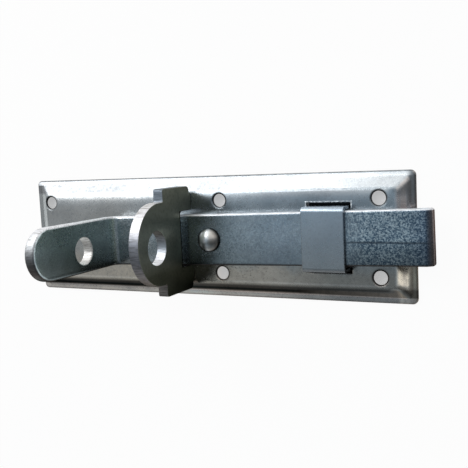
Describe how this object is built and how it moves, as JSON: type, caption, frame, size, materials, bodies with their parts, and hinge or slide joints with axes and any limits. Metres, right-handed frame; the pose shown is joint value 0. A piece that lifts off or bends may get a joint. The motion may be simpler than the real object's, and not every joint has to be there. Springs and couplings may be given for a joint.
{
  "type": "padbolt",
  "caption": "Zinc-plated padbolt: pressed backplate, padlock ear, keeper strap and a flat sliding bolt cranked into a tab with a padlock hole.",
  "frame": {"origin": "centre of the whole object's box, in the plane of the door that the backplate's rim lies on", "axes": "+X the bolt's throw, +Y the plate's upper long edge in the picture, +Z out of the door"},
  "size_m": [0.2194, 0.06, 0.0746],
  "materials": {
    "zinc_plate": "bright zinc plating on pressed sheet, satin, faint mottle",
    "zinc_ear": "zinc plating on thick punched plate, satin",
    "zinc_keeper": "smooth bright zinc plating on strip",
    "zinc_bolt": "blue-grey zinc plating, mottled spangle",
    "zinc_rivet": "bright zinc plating, domed and polished"
  },
  "bodies": {
    "plate_assembly": {"backplate": "zinc_plate", "padlock_ear": "zinc_ear", "keeper_strap": "zinc_keeper"},
    "bolt": {"bolt_bar": "zinc_bolt", "stop_rivet": "zinc_rivet"}
  },
  "joints": [
    {"name": "bolt_slide", "type": "slide", "parent": "plate_assembly", "child": "bolt", "axis": [0.9998, 0.0175, 0], "range_m": [-0.0091, 0.0363]}
  ]
}
